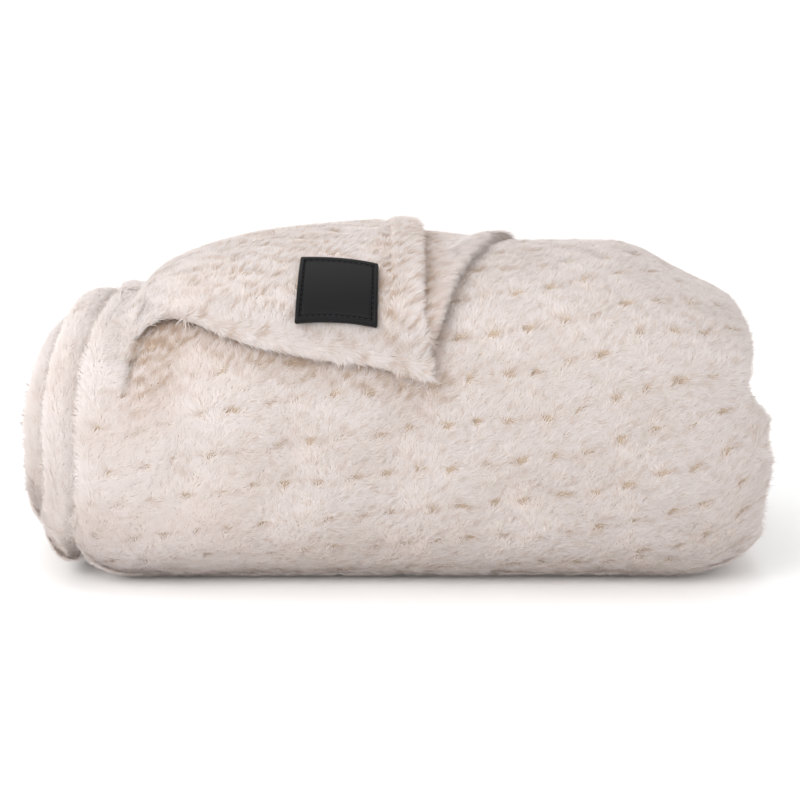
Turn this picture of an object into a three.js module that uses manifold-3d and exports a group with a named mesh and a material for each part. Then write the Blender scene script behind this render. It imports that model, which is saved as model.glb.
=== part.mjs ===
// A folded plush throw, in millimetres. X runs along the bundle, Y to its back and Z up.
// The cloth lies back and forth in nested turns, and its last corner is turned over the top left.

import * as THREE from 'three';
import { mergeVertices } from 'three/addons/utils/BufferGeometryUtils.js';
import Module from 'manifold-3d';

const wasm = await Module();
wasm.setup();

// Driving sizes of the bundle
const stackHeight = 176;
const frontReach = 117;
const frontCentreZ = 104;
const shoulderDepth = 102;
const footDepth = 62;
const shoulderPower = 2.45;
const footPower = 2.1;
const walkSteps = 240;

// How the nested turns shift with their depth in the stack: millimetres for each millimetre inwards
const centreSlope = 15 / 85;
const crestSlope = 1 / 4;
const footSlope = 2 / 3;

// The stack falls a little towards its back, and the hollows fade towards its middle
const backFall = 0.13;
const backFrom = -30;
const backOver = 150;
const pressFade = 42;

// The ends that reach past the outer layer sink a little under their own weight
const sag = 8;
const sagFrom = -172;
const sagOver = 14;
const sagAt = 12;
const sagTall = 22;

// The cloth: its thickness with the pile, and the air between two layers
const plyThick = 10.8;
const plyGap = 1.7;
const turnCount = 7;
const bendSteps = 4;
const outerSteps = { front: 20, level: 4 };
const innerSteps = { front: 8, level: 2 };

// What is left of a layer's thickness at its edges and where two runs join, and the swelling beside an edge
const edgeClose = 0.35;
const joinClose = 0.8;
const swellMore = 0.08;
const swellAt = 9;
const swellWide = 5;

// How the ends round off: where that starts, where they would close and how far they draw in
const rightBend = 146;
const leftBend = 140;
const endBeyond = 205;
const rightDraw = 46;
const leftDraw = 18;
const backDraw = 0.7;

// The corner that is turned over the top: two plies, their hems and how the upper hem comes to rest
const flapThick = 6.6;
const flapGap = 1;
const flapLeftmost = -150;
const sinkMost = 9;
const sinkThick = 0.5;
const hemWide = 15;
const hemRise = 0.8;
const hemRound = 5;
const seamDip = 1.5;
const seamWide = 1.9;
const lowerHemFirm = 0.25;
const lowerHemFrom = -110;
const lowerHemOver = 60;
const hemTurn = 12;
const edgeGuess = 10;
const hemOut = 6.8;
const hemFrom = 3;
const hemOver = 16;

// The moulded patch: its size, its thickness at the rim and inside it, and how its outer edge slopes
const labelWide = 42.5;
const labelTall = 37;
const labelClear = 0.8;
const labelRim = 2.4;
const labelInside = 1.9;
const labelRimWide = 3;
const labelSlope = 0.7;
const labelStep = 0.6;

const plyPitch = plyThick + plyGap;
const weldReach = 1e-4;

// How high the stack stands along its length, before its ends round off
const heights = [
  { across: -205, high: 158 },
  { across: -185, high: 164 },
  { across: -165, high: 162 },
  { across: -144, high: 156.5 },
  { across: -117, high: 164.5 },
  { across: -90, high: 170 },
  { across: -30, high: 176 },
  { across: 10, high: 178 },
  { across: 60, high: 180 },
  { across: 112, high: 180 },
  { across: 131, high: 175.5 },
  { across: 147, high: 166.5 },
  { across: 165, high: 159.5 },
  { across: 205, high: 156 },
];

// How far each end of a turn of cloth reaches, by its height in the stack
const endShape = [
  { high: 0, left: -150, right: 191 },
  { high: 8, left: -161, right: 193.5 },
  { high: 16, left: -169, right: 192.5 },
  { high: 26, left: -173, right: 190 },
  { high: 36, left: -174, right: 190 },
  { high: 48, left: -171, right: 189.5 },
  { high: 62, left: -170, right: 191 },
  { high: 80, left: -169, right: 191.5 },
  { high: 97, left: -169, right: 188.5 },
  { high: 110, left: -168, right: 189 },
  { high: 120, left: -167, right: 182.5 },
  { high: 130, left: -166, right: 177.5 },
  { high: 142, left: -164, right: 179 },
  { high: 158, left: -160, right: 181.5 },
  { high: 176, left: -152, right: 178 },
];

// Each turn's own reach past the outer one, and where its layers end at the back
const turns = [
  { left: 0, right: 0, backTop: 101, backFoot: 108 },
  { left: -20, right: -1, backTop: 106, backFoot: 108 },
  { left: -33, right: -3, backTop: 106, backFoot: 104 },
  { left: -12, right: -6, backTop: 100, backFoot: 104 },
  { left: -16, right: -11, backTop: 100, backFoot: 107 },
  { left: 2, right: -21, backTop: 108, backFoot: 107 },
  { left: -4, right: -42, backTop: 108, backFoot: 92 },
];

// How far the turned-over corner stands out of the stack along its length
const flapRise = [
  { across: -152, out: -9 },
  { across: -148, out: -4 },
  { across: -144, out: 0.5 },
  { across: -137, out: 5 },
  { across: -117, out: 10 },
  { across: -92, out: 13 },
  { across: -60, out: 14.4 },
  { across: 8, out: 14.4 },
  { across: 22, out: 13 },
  { across: 40, out: 10 },
  { across: 60, out: 8.6 },
];

// The lower hem of the turned-over corner, as a path from the top of the stack down its front
const flapHem = [
  { across: -152, down: 142 },
  { across: -148, down: 127 },
  { across: -144, down: 112 },
  { across: -139.5, down: 92 },
  { across: -134, down: 82 },
  { across: -124, down: 81 },
  { across: -112, down: 86 },
  { across: -90, down: 99.5 },
  { across: -55, down: 111.5 },
  { across: -20, down: 118 },
  { across: 0, down: 124 },
  { across: 16, down: 127.5 },
];

// The right-hand hems of the upper and the lower ply of that corner
const flapEdges = [
  { down: -110, upper: 3, lower: 60 },
  { down: -50, upper: 3, lower: 61 },
  { down: 0, upper: 4, lower: 53 },
  { down: 19, upper: 6, lower: 44 },
  { down: 37, upper: 6.5, lower: 38 },
  { down: 54, upper: 6.5, lower: 31 },
  { down: 68, upper: 6.5, lower: 25.5 },
  { down: 80, upper: 6.5, lower: 21 },
  { down: 95, upper: 6.5, lower: 17 },
  { down: 107, upper: 8, lower: 13.5 },
  { down: 127, upper: 13, lower: 12 },
];

// Soft hollows pressed into the stack: middle, size to the left, to the right and down, and depth
const hollows = [
  { across: -134, down: 106, left: 7, right: 17, tall: 26, deep: 11 },
  { across: 22, down: 168, left: 26, right: 26, tall: 17, deep: 3.5 },
  { across: 6, down: 148, left: 18, right: 18, tall: 15, deep: 3 },
  { across: 72, down: 198, left: 26, right: 26, tall: 20, deep: 2.5 },
  { across: 176, down: 116, left: 26, right: 26, tall: 11, deep: 4 },
  { across: -100, down: 172, left: 30, right: 30, tall: 12, deep: 2.5 },
];

// Where the corners of the patch lie on the turned-over corner
const labelCorners = {
  topLeft: { across: -54.3, down: 61.6 },
  topRight: { across: -13.5, down: 71.6 },
  footLeft: { across: -56.2, down: 101.2 },
  footRight: { across: -13.9, down: 105.6 },
};

// Smooth curve through a table's rows
function along(rows, from, to) {
  const slope = (a, b) => (b[to] - a[to]) / (b[from] - a[from]);
  return (at) => {
    const last = rows.length - 1;
    if (at <= rows[0][from]) return rows[0][to];
    if (at >= rows[last][from]) return rows[last][to];
    const i = rows.findIndex((row) => row[from] > at) - 1;
    const here = rows[i];
    const next = rows[i + 1];
    const gap = next[from] - here[from];
    const share = (at - here[from]) / gap;
    const middle = slope(here, next);
    const before = i > 0 ? slope(rows[i - 1], here) : middle;
    const after = i + 2 <= last ? slope(next, rows[i + 2]) : middle;
    const startSlope = before * middle > 0 ? (before + middle) / 2 : 0;
    const endSlope = after * middle > 0 ? (after + middle) / 2 : 0;
    const two = share * share;
    const three = two * share;
    return (
      (2 * three - 3 * two + 1) * here[to] +
      (three - 2 * two + share) * gap * startSlope +
      (3 * two - 2 * three) * next[to] +
      (three - two) * gap * endSlope
    );
  };
}

const mix = (a, b, share) => a + (b - a) * share;
const clamp = (value) => Math.min(1, Math.max(0, value));
const ease = (value) => clamp(value) ** 2 * (3 - 2 * clamp(value));
const bump = (value) => Math.exp(-value * value);

const heightAt = along(heights, 'across', 'high');
const leftEndAt = along(endShape, 'high', 'left');
const rightEndAt = along(endShape, 'high', 'right');
const flapRiseAt = along(flapRise, 'across', 'out');
const flapHemAt = along(flapHem, 'across', 'down');
const upperEdgeAt = along(flapEdges, 'down', 'upper');
const lowerEdgeAt = along(flapEdges, 'down', 'lower');

// A quarter of the front's bulge, from its top or bottom to its foremost line, walked at an even pace
function evenQuarter(deep, high, power) {
  const walk = [];
  let length = 0;
  let last = null;
  for (let i = 0; i <= walkSteps; i += 1) {
    const angle = ((1 - i / walkSteps) * Math.PI) / 2;
    const back = deep * (1 - Math.cos(angle) ** (2 / power));
    const up = high * Math.sin(angle) ** (2 / power);
    if (last) length += Math.hypot(back - last.back, up - last.up);
    last = { back, up };
    walk.push({ length, angle });
  }
  return { length, angleAt: along(walk, 'length', 'angle') };
}

const shoulder = evenQuarter(shoulderDepth, stackHeight - frontCentreZ, shoulderPower);
const foot = evenQuarter(footDepth, frontCentreZ, footPower);
const frontLength = shoulder.length + foot.length;

const crestYAt = (deep) => shoulderDepth - frontReach + deep * crestSlope;
const footYAt = (deep) => footDepth - frontReach + deep * footSlope;

// A point of the stack's section: deep is how far in from the outside, down is measured along the outer
// cloth from the crest to the front and on to the foot. Behind the crest and the foot the layers are level.
function sectionPoint(deep, down) {
  const centreZ = frontCentreZ - deep * centreSlope;
  if (down < 0) return { y: crestYAt(deep) - down, z: stackHeight - deep };
  if (down > frontLength) return { y: footYAt(deep) + down - frontLength, z: deep };
  const upper = down < shoulder.length;
  const angle = upper ? shoulder.angleAt(down) : foot.angleAt(frontLength - down);
  const power = 2 / (upper ? shoulderPower : footPower);
  const reach = upper ? crestYAt(deep) : footYAt(deep);
  const high = upper ? stackHeight - deep - centreZ : deep - centreZ;
  const front = deep - frontReach;
  return {
    y: front + (reach - front) * (1 - Math.cos(angle) ** power),
    z: centreZ + high * Math.sin(angle) ** power,
  };
}

// How far the stack draws in towards its middle near each end
function drawIn(across) {
  const right = clamp((across - rightBend) / (endBeyond - rightBend));
  const left = clamp((-across - leftBend) / (endBeyond - leftBend));
  return rightDraw * (1 - Math.sqrt(1 - right * right)) + leftDraw * (1 - Math.sqrt(1 - left * left));
}

// The hollows' depth here, fading towards the middle of the stack
function hollowAt(across, down, deep) {
  let sum = 0;
  for (const h of hollows) {
    const wide = across < h.across ? h.left : h.right;
    sum += h.deep * bump((across - h.across) / wide) * bump((down - h.down) / h.tall);
  }
  return sum * Math.exp(-Math.max(deep, 0) / pressFade);
}

// Sets a section point at its place: lower towards the back and the ends, level on the floor
function settle(across, point) {
  const fall = 1 - backFall * ease((point.y - backFrom) / backOver);
  const z = Math.max(0, (point.z * heightAt(across) * fall) / stackHeight);
  const past = ease((sagFrom - across) / sagOver);
  const low = bump(Math.max(z - sagAt, 0) / sagTall) * clamp(z / sagAt);
  return [across, point.y, z - sag * past * low];
}

// The body's layers are pressed in by the hollows, and what lies over them isn't
function stackPoint(across, deep, down, hollowed) {
  const pressed = deep + drawIn(across) + (hollowed ? hollowAt(across, down, deep) : 0);
  return settle(across, sectionPoint(pressed, down));
}

// A closed solid from two matching grids of points: the faces of a sheet and the rim between them
function solidFromGrids(face, back) {
  const rows = face.length;
  const columns = face[0].length;
  const points = [...face.flat(), ...back.flat()];
  const at = (side, i, j) => side * rows * columns + i * columns + j;
  const triangles = [];
  const quad = (a, b, c, d) => triangles.push(a, b, c, a, c, d);
  for (let i = 0; i + 1 < rows; i += 1) {
    for (let j = 0; j + 1 < columns; j += 1) {
      quad(at(0, i, j), at(0, i, j + 1), at(0, i + 1, j + 1), at(0, i + 1, j));
      quad(at(1, i, j), at(1, i + 1, j), at(1, i + 1, j + 1), at(1, i, j + 1));
    }
    quad(at(0, i, 0), at(0, i + 1, 0), at(1, i + 1, 0), at(1, i, 0));
    const end = columns - 1;
    quad(at(0, i + 1, end), at(0, i, end), at(1, i, end), at(1, i + 1, end));
  }
  for (let j = 0; j + 1 < columns; j += 1) {
    const end = rows - 1;
    quad(at(0, 0, j + 1), at(0, 0, j), at(1, 0, j), at(1, 0, j + 1));
    quad(at(0, end, j), at(0, end, j + 1), at(1, end, j + 1), at(1, end, j));
  }
  const geometry = new THREE.BufferGeometry();
  geometry.setAttribute('position', new THREE.Float32BufferAttribute(points.flat(), 3));
  geometry.setIndex(triangles);
  const solid = manifoldOf(geometry);
  if (solid.volume() > 0) return solid;
  for (let t = 0; t < triangles.length; t += 3) {
    [triangles[t + 1], triangles[t + 2]] = [triangles[t + 2], triangles[t + 1]];
  }
  geometry.setIndex(triangles);
  return manifoldOf(geometry);
}

function manifoldOf(geometry) {
  const merged = mergeVertices(geometry, weldReach);
  return new wasm.Manifold(new wasm.Mesh({
    numProp: 3,
    vertProperties: new Float32Array(merged.attributes.position.array),
    triVerts: new Uint32Array(merged.index.array),
  }));
}

// The stations along one run of turns: on a level layer, round the front, or round a turn at the back
function runStations(first, last, steps) {
  const stations = [];
  const half = plyThick / 2;
  for (let k = first; k <= last; k += 1) {
    const turn = turns[k];
    const middle = k * plyPitch + half;
    const downward = k % 2 === 0;
    const toward = downward ? half : -half;
    const faces = { outer: middle - toward, inner: middle + toward };
    const layers = [];
    for (let i = 0; i < steps.level; i += 1) {
      layers.push({ k, level: 1 - i / steps.level, top: true, atEnd: turn.backTop, ...faces });
    }
    for (let i = 0; i <= steps.front; i += 1) {
      layers.push({ k, down: (frontLength * i) / steps.front, ...faces });
    }
    for (let i = 1; i <= steps.level; i += 1) {
      layers.push({ k, level: i / steps.level, top: false, atEnd: turn.backFoot, ...faces });
    }
    stations.push(...(downward ? layers : layers.reverse()));
    if (k === last) continue;
    const centre = (k + 1) * plyPitch - plyGap / 2;
    const atEnd = downward ? turn.backFoot : turn.backTop;
    for (let i = 1; i < bendSteps; i += 1) {
      const share = i / bendSteps;
      stations.push({ k: k + share, bend: Math.PI * share, top: !downward, centre, atEnd });
    }
  }
  return stations;
}

const turnValue = (k, name) => mix(turns[Math.floor(k)][name], turns[Math.ceil(k)][name], k % 1);

// Where a station's face or back lies. The back draws in less than the rest near the ends.
function stationPoint(station, side, swell, across) {
  const backY = station.atEnd - drawIn(across) * backDraw;
  if (station.bend !== undefined) {
    const half = (plyThick / 2) * swell;
    const outward = station.top ? side === 1 : side === 0;
    const radius = plyPitch / 2 + (outward ? half : -half);
    const deep = station.centre - radius * Math.cos(station.bend) + drawIn(across);
    const y = backY + radius * Math.sin(station.bend);
    return settle(across, { y, z: station.top ? stackHeight - deep : deep });
  }
  const middle = (station.outer + station.inner) / 2;
  const deep = middle + ((side ? station.inner : station.outer) - middle) * swell;
  if (station.level === undefined) return stackPoint(across, deep, station.down, true);
  const drawn = deep + drawIn(across);
  const startY = station.top ? crestYAt(drawn) : footYAt(drawn);
  const z = station.top ? stackHeight - drawn : drawn;
  return settle(across, { y: mix(startY, backY, station.level), z });
}

// The plies swell a little at their turned ends and close in a round edge
function endSwell(fromEnd) {
  if (fromEnd < 1) return edgeClose;
  return 1 + swellMore * bump((fromEnd - swellAt) / swellWide);
}

// The height in the stack that a station has at its middle
function stationHeight(station) {
  if (station.down !== undefined) return sectionPoint((station.outer + station.inner) / 2, station.down).z;
  const deep = station.bend === undefined ? (station.outer + station.inner) / 2 : station.centre;
  return station.top ? stackHeight - deep : deep;
}

// The columns across a layer: some at a distance from either end, the rest by their share between these
const endColumns = [0, 3, 9];
const endReach = 16;

function columnsAcross(shares) {
  return [
    ...endColumns.map((mm) => ({ place: (left) => left + mm })),
    ...shares.map((share) => ({ place: (left, right) => mix(left + endReach, right - endReach, share) })),
    ...endColumns.toReversed().map((mm) => ({ place: (left, right) => right - mm })),
  ];
}

function layerRun(stations, columns, shrink) {
  const grid = (side) => stations.map((station, i) => {
    const high = stationHeight(station);
    const left = leftEndAt(high) + turnValue(station.k, 'left');
    const right = rightEndAt(high) + turnValue(station.k, 'right');
    const free = i === 0 || i === stations.length - 1 ? shrink : 1;
    return columns.map((column) => {
      const across = column.place(left, right);
      const fromEnd = Math.min(across - left, right - across);
      return stationPoint(station, side, endSwell(fromEnd) * free, across);
    });
  });
  return solidFromGrids(grid(0), grid(1));
}

const outerColumns = 20;
const outerShares = Array.from({ length: outerColumns + 1 }, (_, i) => i / outerColumns);
const innerShares = [0, 0.07, 0.22, 0.6, 0.84, 1];

// The outer turn is seen, so it has finer steps than the turns inside it
const wholeRun = runStations(0, turnCount - 1, innerSteps);
const outerRun = runStations(0, 1, outerSteps);
const outerLast = outerRun.findIndex((station) => station.k === 1);
const innerFirst = wholeRun.findIndex((station) => station.k === 1);
const outerStack = layerRun(outerRun.slice(0, outerLast + 2), columnsAcross(outerShares), edgeClose);
const innerStack = layerRun(wholeRun.slice(innerFirst), columnsAcross(innerShares), joinClose);

// How far the upper ply stands out: all the way where the lower ply is under it, and less at its hem
function upperOut(across, up) {
  const rise = flapRiseAt(across);
  return Math.min(rise, mix(hemOut, rise, ease((up - hemFrom) / hemOver)));
}

// The hem's rounded band and the groove of its seam, firm along the right edge and faint along the lower one
function hemRelief(across, up, inward) {
  const nearest = Math.min(up, inward);
  if (nearest < 1) return 0;
  const alongRight = ease((up - inward) / hemTurn + 0.5);
  const lowerFirm = lowerHemFirm * ease((across - lowerHemFrom) / lowerHemOver);
  const firm = mix(lowerFirm, 1, alongRight);
  const band = hemRise * bump((nearest - hemWide / 2) / hemRound);
  return firm * (band - seamDip * bump((nearest - hemWide) / seamWide));
}

// One ply of the turned-over corner. Its hems run along its lower and its right edge
function flapPly(ply, fromHem, fromEdge) {
  const edgeWide = fromEdge[fromEdge.length - 1];
  const reach = fromHem[fromHem.length - 1];
  const grid = (side) => fromHem.map((up) => fromEdge.map((inward) => {
    const edge = ply.edgeAt(flapHemAt(edgeGuess - inward) - ply.shortBy - up);
    const across = edge - (inward * (edge - flapLeftmost)) / edgeWide;
    const hemDown = flapHemAt(across) - ply.shortBy;
    const down = hemDown - (up * (hemDown + ply.backEnd)) / reach;
    const thick = Math.min(up, edge - across) < 1 ? flapThick * edgeClose : flapThick;
    const plain = flapRiseAt(across) - ply.lift;
    const out = ply.hemmed ? upperOut(across, up) + hemRelief(across, up, edge - across) : plain;
    const face = Math.min((flapThick - thick) / 2 - out, sinkMost - sinkThick);
    const back = Math.min(face + thick, sinkMost);
    return stackPoint(across, side === 0 ? face : back, down, false);
  }));
  return solidFromGrids(grid(0), grid(1));
}

const flapPitch = flapThick + flapGap;
const upperPlyShape = { edgeAt: upperEdgeAt, lift: 0, hemmed: true, backEnd: 92, shortBy: 0 };
const lowerPlyShape = { edgeAt: lowerEdgeAt, lift: flapPitch, hemmed: false, backEnd: 104, shortBy: 16 };
const hemLines = [0, 2, 7, 12, hemWide, hemWide + 3];
const upperRows = [...hemLines, 26, 38, 54, 74, 96, 120, 146, 172, 198];
const upperColumns = [...hemLines, 28, 42, 56, 72, 88, 104, 118, 128, 136, 143, 149, 154];
const lowerRows = [0, 2, 12, 28, 46, 64, 84, 106, 130, 160, 198];
const lowerColumns = [0, 2, 7, 12, 28, 46, 76, 110, 140, 176];
const upperPly = flapPly(upperPlyShape, upperRows, upperColumns);
const lowerPly = flapPly(lowerPlyShape, lowerRows, lowerColumns);

// Where the corner sinks into the stack, specks of air between the layers are filled
const joined = outerStack.add(innerStack).add(lowerPly).add(upperPly);
const blanketSolid = joined.decompose().reduce((a, b) => (a.volume() > b.volume() ? a : b));

// How thick the patch is by the distance from its outer edge
function labelThick(fromRim) {
  if (fromRim < labelStep) return labelRim - labelSlope;
  return fromRim <= labelRimWide ? labelRim : labelInside;
}

// The patch lies on the upper ply and follows its bend. Its rim stands above its bare middle
function labelSolid() {
  const lines = (size) => {
    const half = size / 2;
    const step = (half - labelRimWide - labelStep) / 2;
    const right = [0, step, 2 * step, half - labelRimWide, half - labelSlope, half];
    return [...right.slice(1).reverse().map((mm) => -mm), ...right];
  };
  const { topLeft, topRight, footLeft, footRight } = labelCorners;
  const place = (u, v, name) => {
    const shareU = u / labelWide + 0.5;
    const top = mix(topLeft[name], topRight[name], shareU);
    const foot = mix(footLeft[name], footRight[name], shareU);
    return mix(top, foot, v / labelTall + 0.5);
  };
  const grid = (raised) => lines(labelTall).map((v) => lines(labelWide).map((u) => {
    const across = place(u, v, 'across');
    const down = place(u, v, 'down');
    const fromRim = Math.min(labelWide / 2 - Math.abs(u), labelTall / 2 - Math.abs(v));
    const height = labelClear + (raised ? labelThick(fromRim) : 0);
    return stackPoint(across, -upperOut(across, flapHemAt(across) - down) - height, down, false);
  }));
  return solidFromGrids(grid(true), grid(false));
}

function meshOf(name, solid, material) {
  const built = solid.getMesh();
  const geometry = new THREE.BufferGeometry();
  geometry.setAttribute('position', new THREE.Float32BufferAttribute(Array.from(built.vertProperties), 3));
  geometry.setIndex(Array.from(built.triVerts));
  geometry.computeVertexNormals();
  const mesh = new THREE.Mesh(geometry, material);
  mesh.name = name;
  return mesh;
}

const plush = new THREE.MeshStandardMaterial({ color: 0xe6dcd4, roughness: 0.95, metalness: 0 });
const rubber = new THREE.MeshStandardMaterial({ color: 0x1c1c1d, roughness: 0.6, metalness: 0 });

// The bundle's middle comes over the origin
const box = blanketSolid.boundingBox();
const throwGroup = new THREE.Group();
throwGroup.add(meshOf('blanket', blanketSolid, plush));
throwGroup.add(meshOf('label', labelSolid(), rubber));
throwGroup.position.set(-(box.min[0] + box.max[0]) / 2, -(box.min[1] + box.max[1]) / 2, -box.min[2]);

export default throwGroup;
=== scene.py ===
import math

import bmesh
import bpy
import numpy as np
from mathutils import Matrix, Vector
from mathutils.bvhtree import BVHTree


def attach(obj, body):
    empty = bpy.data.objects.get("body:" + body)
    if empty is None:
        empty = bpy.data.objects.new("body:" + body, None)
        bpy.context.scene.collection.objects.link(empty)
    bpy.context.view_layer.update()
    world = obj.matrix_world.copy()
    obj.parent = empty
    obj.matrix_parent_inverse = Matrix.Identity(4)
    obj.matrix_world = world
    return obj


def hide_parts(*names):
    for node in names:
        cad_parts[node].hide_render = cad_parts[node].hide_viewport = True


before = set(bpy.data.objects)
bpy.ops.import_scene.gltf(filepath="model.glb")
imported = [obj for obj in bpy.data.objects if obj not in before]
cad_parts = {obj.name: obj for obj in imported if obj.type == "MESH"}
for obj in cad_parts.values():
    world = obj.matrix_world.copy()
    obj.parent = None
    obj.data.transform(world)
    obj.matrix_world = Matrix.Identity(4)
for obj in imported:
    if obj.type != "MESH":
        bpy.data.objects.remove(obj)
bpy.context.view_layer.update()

# Lengths are in millimetres, apart from the stage's. Points become metres where a mesh is made.
bundle = {
    "stackHeight": 176, "frontReach": 117, "frontCentreZ": 104,
    "shoulderDepth": 102, "footDepth": 62, "shoulderPower": 2.45, "footPower": 2.1,
    "plyPitch": 12.5, "plyHalf": 5.4, "plyGap": 1.7,
    # where each end starts to draw in, and how far it would come in at endBeyond
    "rightDraw": (146, 46), "leftDraw": (140, 18), "endBeyond": 205, "backDraw": 0.7,
    "centreSlope": 15 / 85, "crestSlope": 1 / 4, "footSlope": 2 / 3,
    "backFall": 0.13, "backRise": (-30, 150), "pressFade": 42, "creaseFade": 1.3,
    "sag": 8, "sagRise": (172, 14), "sagAt": 12, "sagTall": 22, "sagFloor": 12,
    "shift": (6.644, 1.736, 0.0),
}

# How high the stack stands along its length
heights = [
    (-205, 154), (-185, 161.5), (-165, 162.5), (-146, 155.5), (-136, 161), (-117, 165), (-90, 170), (-30, 176),
    (10, 178), (60, 180), (112, 180), (131, 175.5), (147, 166.5), (165, 159.5), (205, 156),
]

# How far the turns reach by their height: height, left end, right end
endShape = [
    (0, -150, 191), (8, -161, 193.5), (16, -169, 192.5), (26, -173, 190), (36, -174, 190), (48, -171, 189.5),
    (62, -170, 191), (80, -169, 191.5), (97, -169, 188.5), (110, -168, 189), (120, -167, 182.5),
    (130, -166, 177.5), (142, -164, 179), (158, -160, 181.5), (176, -152, 178),
]

# Each turn's own reach past the outer one, left and right, and where its layers end at the back
turns = [
    (0, 0, 101, 108), (-20, -1, 106, 108), (-33, -3, 106, 104), (-12, -6, 100, 104),
    (-16, -11, 100, 107), (2, -21, 108, 107), (-4, -42, 108, 92),
]

# Soft hollows: middle across and down, size to the left, to the right and down, depth
hollows = [
    (-136, 104, 6.5, 18, 24, 6), (22, 168, 26, 26, 17, 3.5), (6, 148, 18, 18, 15, 3),
    (72, 198, 26, 26, 20, 2.5), (176, 116, 26, 26, 11, 4), (-100, 172, 30, 30, 12, 2.5),
]

# Soft creases laid one by one: from across and down, to across and down, width, depth
creases = [
    (-132, 84, -141, 99, 3.6, 2.0), (-141, 99, -144, 117, 3.6, 2.6), (-155, 121, -139, 135, 5, 1.3),
    (-130, 112, -117, 128, 4, 0.8), (-6, 149, 10, 168, 5, 1.6), (54, 194, 76, 195, 7, 1.2),
    (-70, 176, -46, 190, 7, 0.9), (96, 150, 124, 168, 8, 1.0), (118, 214, 150, 206, 8, 0.9),
]


# A smooth curve through a table's rows, by their first column
def curveThrough(rows, column=1):
    at = np.array([row[0] for row in rows], float)
    to = np.array([row[column] for row in rows], float)
    steep = np.diff(to) / np.diff(at)
    inner = np.where(steep[:-1] * steep[1:] > 0, (steep[:-1] + steep[1:]) / 2, 0)
    slopes = np.concatenate([steep[:1], inner, steep[-1:]])

    def value(x):
        x = np.clip(x, at[0], at[-1])
        i = np.clip(np.searchsorted(at, x, side="right") - 1, 0, len(at) - 2)
        gap = at[i + 1] - at[i]
        share = (x - at[i]) / gap
        two, three = share ** 2, share ** 3
        return (
            (2 * three - 3 * two + 1) * to[i] + (three - 2 * two + share) * gap * slopes[i]
            + (3 * two - 2 * three) * to[i + 1] + (three - two) * gap * slopes[i + 1]
        )

    return value


def mix(a, b, share):
    return a + (b - a) * share


# The value kept between 0 and 1
def limit(value):
    return np.clip(value, 0, 1)


def ease(value):
    value = limit(value)
    return value ** 2 * (3 - 2 * value)


def bump(value):
    return np.exp(-value * value)


# A rise from 0 to 1, by where it starts and how far it goes on
def rise(value, fromOver):
    return ease((value - fromOver[0]) / fromOver[1])


# A hump of height 1, by where its top is and how wide it is
def hump(value, atWide):
    return bump((value - atWide[0]) / atWide[1])


# A smooth, seeded unevenness of about one unit, with waves of about the given size
def waves(seed, size, count=9):
    draw = np.random.default_rng(seed)
    turn = draw.uniform(0, 2 * math.pi, count)
    phase = draw.uniform(0, 2 * math.pi, count)
    pace = 2 * math.pi / (size * draw.uniform(0.75, 1.5, count))

    def value(a, b):
        total = 0
        for i in range(count):
            total = total + np.sin((a * math.cos(turn[i]) + b * math.sin(turn[i])) * pace[i] + phase[i])
        return total / math.sqrt(count)

    return value


heightAt = curveThrough(heights)
leftEndAt = curveThrough(endShape, 1)
rightEndAt = curveThrough(endShape, 2)


# The front's bulge from its top or its foot to its foremost line, as lengths walked and angles
def quarterWalk(deep, high, power, steps=1600):
    angle = np.linspace(math.pi / 2, 0, steps + 1)
    back = deep * (1 - np.abs(np.cos(angle)) ** (2 / power))
    up = high * np.abs(np.sin(angle)) ** (2 / power)
    length = np.concatenate([[0], np.cumsum(np.hypot(np.diff(back), np.diff(up)))])
    return length, angle


shoulderWalk = quarterWalk(
    bundle["shoulderDepth"], bundle["stackHeight"] - bundle["frontCentreZ"], bundle["shoulderPower"]
)
footWalk = quarterWalk(bundle["footDepth"], bundle["frontCentreZ"], bundle["footPower"])
shoulderLength = shoulderWalk[0][-1]
frontLength = shoulderLength + footWalk[0][-1]


def crestYAt(deep):
    return bundle["shoulderDepth"] - bundle["frontReach"] + deep * bundle["crestSlope"]


def footYAt(deep):
    return bundle["footDepth"] - bundle["frontReach"] + deep * bundle["footSlope"]


# deep is how far in from the outside; down is measured along the outer cloth from the crest
def sectionPoint(deep, down):
    deep, down = np.broadcast_arrays(np.asarray(deep, float), np.asarray(down, float))
    centreZ = bundle["frontCentreZ"] - deep * bundle["centreSlope"]
    upper = down < shoulderLength
    angle = np.where(
        upper, np.interp(down, *shoulderWalk), np.interp(frontLength - down, *footWalk)
    )
    power = np.where(upper, 2 / bundle["shoulderPower"], 2 / bundle["footPower"])
    reach = np.where(upper, crestYAt(deep), footYAt(deep))
    high = np.where(upper, bundle["stackHeight"] - deep, deep) - centreZ
    front = deep - bundle["frontReach"]
    y = front + (reach - front) * (1 - np.abs(np.cos(angle)) ** power)
    z = centreZ + high * np.abs(np.sin(angle)) ** power
    y = np.where(down < 0, crestYAt(deep) - down, y)
    z = np.where(down < 0, bundle["stackHeight"] - deep, z)
    y = np.where(down > frontLength, footYAt(deep) + down - frontLength, y)
    z = np.where(down > frontLength, deep, z)
    return y, z


# How far the stack draws in towards its middle near each end
def drawIn(across):
    drawn = 0
    for beyond, (start, most) in ((across, bundle["rightDraw"]), (-across, bundle["leftDraw"])):
        share = limit((beyond - start) / (bundle["endBeyond"] - start))
        drawn = drawn + most * (1 - np.sqrt(1 - share ** 2))
    return drawn


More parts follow.
